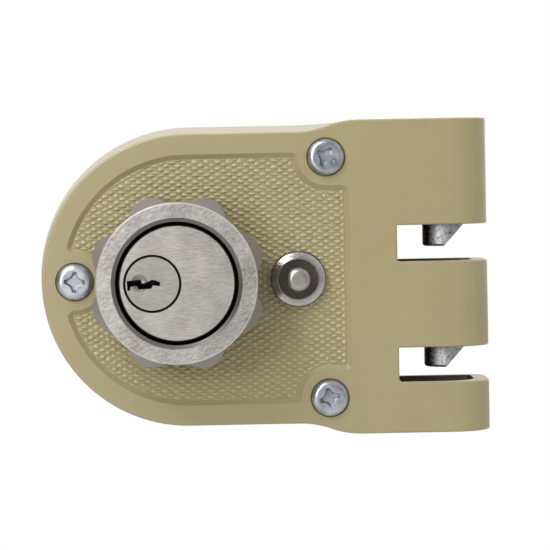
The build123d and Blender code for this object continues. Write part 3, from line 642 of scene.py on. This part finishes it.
class LOCK_OT_finishes(bpy.types.Operator):
    """Gives every solid of the lock its procedural finish"""

    bl_idname = "lock.finishes"
    bl_label = "Finishes"

    BRASS = (
        "key_pins",
        "driver_pins",
        "chamber_stoppers",
        "plug_cam",
        "bushing_cap",
        "bushing_nut",
    )
    STEEL = (
        "lock_bar",
        "drive_hub",
        "crank_pin",
        "hub_screws",
        "cam_screws",
        "bolt_carriage",
        "bolt_screws",
        "guide_posts",
        "spring_peg",
        "knob_washer",
        "knob_retaining_ring",
    )

    def case(self, colours, sizes, marks):
        """Finish of the case."""
        return enamel(
            colours,
            shaded_hollows=(
                (marks.middle_low, marks.middle_high),
                (marks.lowest_low, marks.lowest_high),
            ),
            seam=(sizes.button_x, sizes.button_z, marks.case_seam_shadow),
        )

    def fronts(self, colours, sizes, marks):
        """Finishes of the knob, the cylinder, the plug and the button's bezel."""
        # Painted shadow in the slit between the knob and the cylinder, under the knob's face
        gap_shadow = (0.0, marks.gap_inside, marks.gap_outside, marks.gap_below, colours.shadow, 0.0)
        # Painted shade on the bevel inside the knob's ring
        chamfer = (
            0.0,
            marks.chamfer_inside,
            marks.chamfer_outside,
            marks.chamfer_below,
            colours.chamfer,
            0.0,
        )
        # Painted shadow round the plug, also on the faces beside the slit, so that the line is
        # wider
        plug_gap_shadow = (
            marks.plug_x,
            marks.plug_inside,
            marks.plug_outside,
            marks.all_depths,
            colours.shadow,
            0.0,
        )
        # Painted shade over the whole key guide dimple
        guide = (marks.guide_x, 0.0, marks.guide_radius, marks.all_depths, colours.guide, 0.0)
        # The cup is darkened and made matt: partly oxide, partly painted shade
        cup = (sizes.button_x, 0.0, marks.cup_radius, marks.cup_below, colours.cup, marks.cup_matt)
        knob = brushed(
            colours.nickel,
            colours.nickel_deep,
            strokes=(480, 480, 2400),
            rough=0.24,
            slope=0.56,
            dark=(gap_shadow, chamfer),
            rim=(marks.rim_radius, marks.rim_worn_lit_edge, marks.rim_skirt, marks.knob_face, colours.lobe),
        )
        cylinder = brushed(
            colours.face,
            colours.face_deep,
            strokes=(350, 350, 4800),
            rough=0.26,
            slope=0.05,
            dark=(gap_shadow, plug_gap_shadow),
        )
        plug = brushed(
            colours.plug,
            colours.plug_deep,
            strokes=(350, 350, 4800),
            rough=0.28,
            slope=-0.1,
            dark=(guide, plug_gap_shadow),
        )
        bezel = brushed(
            colours.nickel,
            colours.bezel_deep,
            strokes=(1500, 1500, 1500),
            rough=0.1,
            dark=(cup,),
            flank=(sizes.button_x, marks.flank_inside, marks.flank_outside, colours.bezel_flank_shade),
        )
        return knob, cylinder, plug, bezel

    def execute(self, context):
        colours = context.scene.lock_colours
        sizes = context.scene.lock_panel_sizes
        marks = context.scene.lock_marks
        knob, cylinder, plug, bezel = self.fronts(colours, sizes, marks)
        button = turned_metal(
            colours.nickel,
            colours.nickel_deep,
            sizes.button_x,
            sizes.button_z,
            pitch=marks.ring_pitch,
            rough=0.3,
        )
        zinc = colours.zinc, colours.zinc_deep
        brass = colours.brass, colours.brass_deep
        steel = colours.steel, colours.steel_deep
        for title, build, names in (
            ("case_enamel", self.case(colours, sizes, marks), ["case"]),
            ("knob_brushed", knob, ["turn_knob"]),
            ("cylinder_brushed", cylinder, ["cylinder_body"]),
            ("plug_brushed", plug, ["cylinder_plug"]),
            ("bushing_polished", bezel, ["button_bushing"]),
            ("button_turned", button, ["stop_button"]),
            ("screw_bright_zinc", clouded(*zinc, scale=420.0, rough=0.27), ["case_screws"]),
            (
                "plate_zinc_coat",
                clouded(*zinc, scale=160.0, rough=0.35, depth=0.03 * MM),
                ["mounting_plate", "plate_nuts"],
            ),
            ("bolt_forging", forging(colours, marks.lit_from), ["upper_bolt", "lower_bolt"]),
            ("machined_brass", clouded(*brass, scale=260.0, rough=0.28), self.BRASS),
            ("oiled_steel", clouded(*steel, scale=200.0, rough=0.3), self.STEEL),
        ):
            dress(names, material(title, build))
        return {"FINISHED"}


def cut_round(mesh, x, z, radius, reach):
    """Cuts the sheet along a circle, a short straight cut at a time, and removes what is inside."""
    for step in range(ROUND_CUTS):
        turn = FULL_TURN * step / ROUND_CUTS
        out = Vector((math.cos(turn), 0.0, math.sin(turn)))
        near = []
        for face in mesh.faces:
            spot = face.calc_center_median()
            away = Vector((spot.x - x, 0.0, spot.z - z))
            if radius - reach < away.length < radius + reach:
                if away.normalized().dot(out) > math.cos(FULL_TURN * 0.5 / ROUND_CUTS):
                    near.append(face)
        if near:
            split(mesh, near, Vector((x, 0.0, z)) + radius * out, out)
    inside = [
        face for face in mesh.faces if flat_distance(face.calc_center_median(), x, z) < radius
    ]
    bmesh.ops.delete(mesh, geom=inside, context="FACES")


def split(mesh, faces, spot, out, clear=False):
    """Splits these faces of the sheet along a line, and may clear what is beyond it."""
    edges = dict.fromkeys(edge for face in faces for edge in face.edges)
    corners = dict.fromkeys(corner for face in faces for corner in face.verts)
    bmesh.ops.bisect_plane(
        mesh,
        geom=faces + list(edges) + list(corners),
        plane_co=Vector(spot),
        plane_no=Vector(out),
        clear_outer=clear,
        dist=ON_LINE,
    )


def cut_line(mesh, spot, out):
    """Cuts the sheet along a line and removes what is beyond it."""
    split(mesh, mesh.faces[:], spot, out, clear=True)


def cut_corner(mesh, spot, first, second, reach):
    """Cuts a corner out of the sheet: what lies beyond the spot both ways."""
    spot = Vector(spot)
    for out, other in ((first, second), (second, first)):
        near = [
            face
            for face in mesh.faces
            if (face.calc_center_median() - spot).dot(Vector(other)) > -reach
        ]
        split(mesh, near, spot, out)
    away = [
        face
        for face in mesh.faces
        if all((face.calc_center_median() - spot).dot(Vector(out)) > 0 for out in (first, second))
    ]
    bmesh.ops.delete(mesh, geom=away, context="FACES")


class LOCK_OT_grain(bpy.types.Operator):
    """Makes the raised grain on the panel of the case"""

    bl_idname = "lock.grain"
    bl_label = "Panel grain"

    def lay(self, mesh, grain, sizes, row, rise, chance):
        """Lays a sheet of slanted cells over the panel and shakes its corners."""
        pitch = min(grain.along, grain.across)
        half = int(grain.cover * sizes.right / pitch)
        bmesh.ops.create_grid(mesh, x_segments=2 * half, y_segments=2 * half, size=half)
        onto_panel = Matrix(
            (
                (row.x, rise.x, 0.0, grain.shift),
                (0.0, 0.0, -1.0, -sizes.floor),
                (row.z, rise.z, 0.0, 0.0),
                (0.0, 0.0, 0.0, 1.0),
            )
        )
        bmesh.ops.transform(mesh, matrix=onto_panel, verts=mesh.verts)
        for corner in mesh.verts:
            corner.co.x += chance.uniform(-1, 1) * grain.shake * pitch
            corner.co.z += chance.uniform(-1, 1) * grain.shake * pitch

    def trim(self, mesh, grain, sizes):
        """Cuts the sheet to the panel, and free of the screws' lands, the knob and the button."""
        pitch = min(grain.along, grain.across)
        reach = sizes.radius - grain.border
        cut_line(mesh, (0, 0, reach), (0, 0, 1))
        cut_line(mesh, (0, 0, -reach), (0, 0, -1))
        cut_line(mesh, (sizes.right - grain.border, 0, 0), (1, 0, 0))
        for step in range(ARC_CUTS + 1):
            turn = math.pi * (0.5 + step / ARC_CUTS)
            out = Vector((math.cos(turn), 0.0, math.sin(turn)))
            cut_line(mesh, Vector((sizes.round_x, 0.0, 0.0)) + reach * out, out)
        land = sizes.land + grain.border
        near = 3 * pitch
        for side in (1, -1):
            up = (0, 0, side)
            spot = (sizes.screw_x, 0, side * (sizes.screw_z - land))
            cut_corner(mesh, spot, (1, 0, 0), up, pitch)
            spot = (sizes.screw_x - land, 0, side * sizes.screw_z)
            cut_corner(mesh, spot, (1, 0, 0), up, pitch)
            cut_round(mesh, sizes.screw_x, side * sizes.screw_z, land, near)
            cut_corner(mesh, (sizes.left_screw_x, 0, side * land), (-1, 0, 0), (0, 0, -side), pitch)
        cut_round(mesh, sizes.left_screw_x, 0.0, land, near)
        hidden = [
            face
            for face in mesh.faces
            if flat_distance(face.calc_center_median(), 0.0, 0.0) < sizes.knob_clear
            or flat_distance(face.calc_center_median(), sizes.button_x, sizes.button_z)
            < sizes.button_clear
        ]
        bmesh.ops.delete(mesh, geom=hidden, context="FACES")

    def clean(self, mesh, grain, cell):
        """Joins corners that nearly meet and drops the slivers."""
        bmesh.ops.remove_doubles(mesh, verts=mesh.verts, dist=grain.weld)
        bmesh.ops.dissolve_degenerate(mesh, edges=mesh.edges, dist=grain.weld)
        slivers = [face for face in mesh.faces if face.calc_area() < grain.smallest * cell]
        bmesh.ops.delete(mesh, geom=slivers, context="FACES")

    def swell(self, mesh, grain, cell, chance):
        """Gives the sheet its thickness and raises a grain on every cell."""
        bmesh.ops.translate(mesh, verts=mesh.verts, vec=(0.0, grain.sheet, 0.0))
        raised = bmesh.ops.extrude_face_region(mesh, geom=mesh.faces[:])["geom"]
        corners = [part for part in raised if isinstance(part, bmesh.types.BMVert)]
        front = [part for part in raised if isinstance(part, bmesh.types.BMFace)]
        bmesh.ops.translate(mesh, verts=corners, vec=(0.0, -grain.sheet, 0.0))
        whole = [face for face in front if face.calc_area() > grain.whole * cell]
        parts = [face for face in front if face.calc_area() <= grain.whole * cell]
        for faces, width, height in ((whole, 1.0, 1.0), (parts, 0.5, 0.7)):
            bmesh.ops.inset_individual(mesh, faces=faces, thickness=width * grain.valley, depth=0.0)
            bmesh.ops.inset_individual(
                mesh, faces=faces, thickness=width * grain.slope, depth=height * grain.height
            )
        pitch = min(grain.along, grain.across)
        # In a fixed order, so that every run draws the same numbers for the same grain
        for face in sorted(whole, key=lambda face: tuple(face.calc_center_median())):
            nudge = Vector([chance.uniform(-1, 1) for _ in range(3)]) * grain.shake * pitch
            bmesh.ops.translate(mesh, verts=face.verts, vec=nudge)

    def execute(self, context):
        grain = context.scene.lock_grain
        sizes = context.scene.lock_panel_sizes
        marks = context.scene.lock_marks
        row = Vector((math.cos(grain.row_turn), 0.0, math.sin(grain.row_turn))) * grain.along
        rise = Vector((math.cos(grain.up_turn), 0.0, math.sin(grain.up_turn))) * grain.across
        cell = row.cross(rise).length
        chance = random.Random(grain.seed)
        mesh = bmesh.new()
        self.lay(mesh, grain, sizes, row, rise, chance)
        self.trim(mesh, grain, sizes)
        self.clean(mesh, grain, cell)
        self.swell(mesh, grain, cell, chance)
        open_edges = [edge for edge in mesh.edges if edge.is_boundary]
        if open_edges:
            bmesh.ops.holes_fill(mesh, edges=open_edges, sides=0)
        bmesh.ops.recalc_face_normals(mesh, faces=mesh.faces)
        finish = enamel(
            context.scene.lock_colours,
            peel_size=0.5 * MM,
            peel_depth=0.2 * MM,
            seam=(sizes.button_x, sizes.button_z, marks.grain_seam_shadow),
            painted_valley_shade=(sizes.floor, grain.height),
        )
        made = piece(mesh, "panel_grain", "lock", material("grain_enamel", finish))
        rounding = made.modifiers.new("rounding", "SUBSURF")
        rounding.levels = rounding.render_levels = 1
        return {"FINISHED"}


def coil(mesh, start, axis, length, radius, wire, turns):
    """Winds a closed coil from a start point along an axis."""
    along = Vector(axis)
    side = along.orthogonal().normalized()
    facing = along.cross(side).to_track_quat("Z", "Y").to_matrix().to_4x4()
    middle = Vector(start) + along * wire / 2 + side * (radius - wire / 2)
    section = bmesh.ops.create_circle(
        mesh,
        cap_ends=True,
        segments=WIRE_SIDES,
        radius=wire / 2,
        matrix=Matrix.Translation(middle) @ facing,
    )["verts"]
    caps = list(dict.fromkeys(face for corner in section for face in corner.link_faces))
    steps = WIRE_STEPS * turns
    bmesh.ops.spin(
        mesh,
        geom=caps,
        cent=Vector(start),
        axis=along,
        dvec=along * (length - wire) / steps,
        angle=FULL_TURN * turns,
        steps=steps,
        use_merge=False,
        use_normal_flip=False,
        use_duplicate=False,
    )


class LOCK_OT_springs(bpy.types.Operator):
    """Winds the coil springs that the CAD holds as plain sleeves"""

    bl_idname = "lock.springs"
    bl_label = "Coil springs"

    def finished(self, context, mesh, name, node, body):
        """Checks that a coil's mesh is closed, and puts it in the place of its sleeve."""
        if any(edge.is_boundary for edge in mesh.edges):
            raise RuntimeError(name + " is open")
        bmesh.ops.recalc_face_normals(mesh, faces=mesh.faces)
        colours = context.scene.lock_colours
        finish = material(name + "_wire", clouded(colours.steel, colours.steel_deep, 500.0, 0.25))
        made = piece(mesh, name, body, finish)
        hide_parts(node)
        return made

    def execute(self, context):
        springs = context.scene.lock_springs
        low, high = [Vector(corner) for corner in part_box("return_spring")]
        mesh = bmesh.new()
        centre = (low + high) / 2
        coil(
            mesh,
            (centre.x, centre.y, low.z),
            (0, 0, 1),
            high.z - low.z,
            (high.x - low.x) / 2,
            springs.return_wire,
            springs.return_turns,
        )
        made = self.finished(context, mesh, "return_coil", "return_spring", "lock")
        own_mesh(made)

        low, high = [Vector(corner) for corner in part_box("button_spring")]
        centre = (low + high) / 2
        mesh = bmesh.new()
        coil(
            mesh,
            (centre.x, low.y, centre.z),
            (0, 1, 0),
            high.y - low.y,
            (high.x - low.x) / 2,
            springs.button_wire,
            springs.button_turns,
        )
        self.finished(context, mesh, "button_coil", "button_spring", "button")

        low, high = [Vector(corner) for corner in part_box("pin_springs")]
        radius = (high.z - low.z) / 2
        reach = high.y - low.y - 2 * radius
        mesh = bmesh.new()
        for number in range(springs.pin_count):
            y = low.y + radius + reach * number / (springs.pin_count - 1)
            coil(
                mesh,
                (low.x, y, (low.z + high.z) / 2),
                (1, 0, 0),
                high.x - low.x,
                radius,
                springs.pin_wire,
                springs.pin_turns,
            )
        self.finished(context, mesh, "pin_coils", "pin_springs", "knob")
        return {"FINISHED"}


class LOCK_OT_stage(bpy.types.Operator):
    """Sets up the floor, the lamps, the light of the room and the camera"""

    bl_idname = "lock.stage"
    bl_label = "Stage"

    # Brightness of the room that the metal mirrors, by direction: stops of (direction, grey)
    UPWARDS = (0.2, 0.1), (0.5, 0.15), (0.9, 0.6)
    RIGHTWARDS = (0.3, 0.0), (0.9, 0.4)
    DARK_LEFT = (0.93, 0.0), (0.965, 1.0)
    BACKWARDS = (0.55, 0.0), (1.0, 1.0)

    def lamp(self, context, name, spot, size, power, mirrored=True):
        """A square lamp that faces the lock, and that the metal may mirror."""
        data = bpy.data.lights.new(name, "AREA")
        data.size = size
        data.energy = power
        made = bpy.data.objects.new(name, data)
        context.scene.collection.objects.link(made)
        made.location = spot
        made.visible_glossy = mirrored
        aim = context.scene.lock_light.aim - Vector(spot)
        made.rotation_euler = aim.to_track_quat("-Z", "Y").to_euler()

    def room(self, context, light):
        """White behind the lock, even light all round, and a room that the metal mirrors."""
        world = bpy.data.worlds.new("room")
        context.scene.world = world
        world.use_nodes = True
        room = Finish(world.node_tree)
        camera, gloss, through = [
            room.node("ShaderNodeLightPath", output="Is " + name + " Ray")
            for name in ("Camera", "Glossy", "Transmission")
        ]
        way = room.node("ShaderNodeTexCoord", output="Generated")
        x, y, z = [
            room.node("ShaderNodeSeparateXYZ", values={"Vector": way}, output=axis)
            for axis in "XYZ"
        ]
        front = room.ramp(0.5 + 0.5 * z - 0.1 * x, *self.UPWARDS)
        right = room.ramp(x, *self.RIGHTWARDS)
        left = room.ramp(0.5 - 0.5 * x, *self.DARK_LEFT)
        behind = room.ramp(0.5 + 0.5 * y, *self.BACKWARDS)
        mirrored = behind + (1 - behind) * (front + right) * (1 - 0.94 * left)
        even = light.around * (1 + light.from_right * x)
        seen = camera + through > 0.5
        strength = seen + (1 - seen) * (gloss * mirrored + (1 - gloss) * even)
        back = room.node(
            "ShaderNodeBackground", values={"Color": (1.0, 1.0, 1.0, 1.0), "Strength": strength}
        )
        room.node("ShaderNodeOutputWorld", values={"Surface": back})

    def floor(self, context, light):
        """A grey floor under the lock that the camera sees as white, and from below not at all."""
        mesh = bmesh.new()
        bmesh.ops.create_grid(mesh, x_segments=1, y_segments=1, size=light.floor_half)
        drop = cad_box[0].z - light.floor_drop
        bmesh.ops.translate(mesh, verts=mesh.verts, vec=(0.0, 0.0, drop))
        data = bpy.data.meshes.new("floor")
        mesh.to_mesh(data)
        mesh.free()
        made = bpy.data.objects.new("floor", data)
        context.scene.collection.objects.link(made)
        paper = bpy.data.materials.new("floor_paper")
        paper.use_nodes = True
        finish = Finish(paper.node_tree)
        seen = finish.node("ShaderNodeLightPath", output="Is Camera Ray")
        below = finish.node("ShaderNodeNewGeometry", output="Backfacing")
        grey = (light.floor_grey, light.floor_grey, light.floor_grey, 1.0)
        dull = finish.node("ShaderNodeBsdfDiffuse", values={"Color": grey})
        white = finish.node("ShaderNodeEmission", values={"Strength": 1.0})
        shown = finish.node("ShaderNodeMixShader", values={0: seen, 1: dull, 2: white})
        clear = finish.node("ShaderNodeBsdfTransparent")
        surface = finish.node("ShaderNodeMixShader", values={0: below, 1: shown, 2: clear})
        finish.node("ShaderNodeOutputMaterial", values={"Surface": surface})
        data.materials.append(paper)

    def camera(self, context, view):
        """The camera that took the photograph."""
        data = bpy.data.cameras.new("camera")
        data.sensor_width = 36.0
        data.lens = view.lens
        data.clip_start = 10 * MM
        data.clip_end = 10000 * MM
        made = bpy.data.objects.new("camera", data)
        context.scene.collection.objects.link(made)
        ahead = Vector(
            (
                math.sin(view.yaw) * math.cos(view.pitch),
                math.cos(view.yaw) * math.cos(view.pitch),
                -math.sin(view.pitch),
            )
        )
        level = Vector((math.cos(view.yaw), -math.sin(view.yaw), 0.0))
        upright = level.cross(ahead)
        right = math.cos(view.roll) * level - math.sin(view.roll) * upright
        up = math.sin(view.roll) * level + math.cos(view.roll) * upright
        turn = Matrix((right, up, -ahead)).transposed().to_4x4()
        made.matrix_world = Matrix.Translation(view.place) @ turn
        context.scene.camera = made

    def execute(self, context):
        light = context.scene.lock_light
        self.lamp(context, "key_lamp", light.key_place, light.key_size, light.key_power)
        self.lamp(context, "bright_card", light.card_place, light.card_size, light.card_power)
        self.lamp(context, "top_lamp", light.top_place, light.top_size, light.top_power, False)
        self.room(context, light)
        self.floor(context, light)
        self.camera(context, context.scene.lock_view)
        context.scene.view_settings.view_transform = "Standard"
        return {"FINISHED"}


class LOCK_PT_sidebar(bpy.types.Panel):
    """Lists the steps and the sizes of the lock"""

    bl_label = "Rim door lock"
    bl_space_type = "VIEW_3D"
    bl_region_type = "UI"
    bl_category = "Lock"

    def draw(self, context):
        for step in STEPS:
            self.layout.operator(step.bl_idname)
        for name, group in GROUPS.items():
            box = self.layout.box()
            for key in group.__annotations__:
                box.prop(getattr(context.scene, name), key)


GROUPS = {
    "lock_view": LOCK_PG_view,
    "lock_light": LOCK_PG_light,
    "lock_colours": LOCK_PG_colours,
    "lock_grain": LOCK_PG_grain,
    "lock_panel_sizes": LOCK_PG_panel_sizes,
    "lock_marks": LOCK_PG_marks,
    "lock_springs": LOCK_PG_springs,
}
STEPS = (LOCK_OT_finishes, LOCK_OT_grain, LOCK_OT_springs, LOCK_OT_stage)


def register():
    for name, group in GROUPS.items():
        bpy.utils.register_class(group)
        setattr(bpy.types.Scene, name, PointerProperty(type=group))
    for step in STEPS:
        bpy.utils.register_class(step)
    bpy.utils.register_class(LOCK_PT_sidebar)


def unregister():
    bpy.utils.unregister_class(LOCK_PT_sidebar)
    for step in reversed(STEPS):
        bpy.utils.unregister_class(step)
    for name, group in GROUPS.items():
        delattr(bpy.types.Scene, name)
        bpy.utils.unregister_class(group)


def main():
    register()
    for step in STEPS:
        group, name = step.bl_idname.split(".")
        getattr(getattr(bpy.ops, group), name)()
    bpy.context.view_layer.update()


if __name__ == "__main__":
    main()
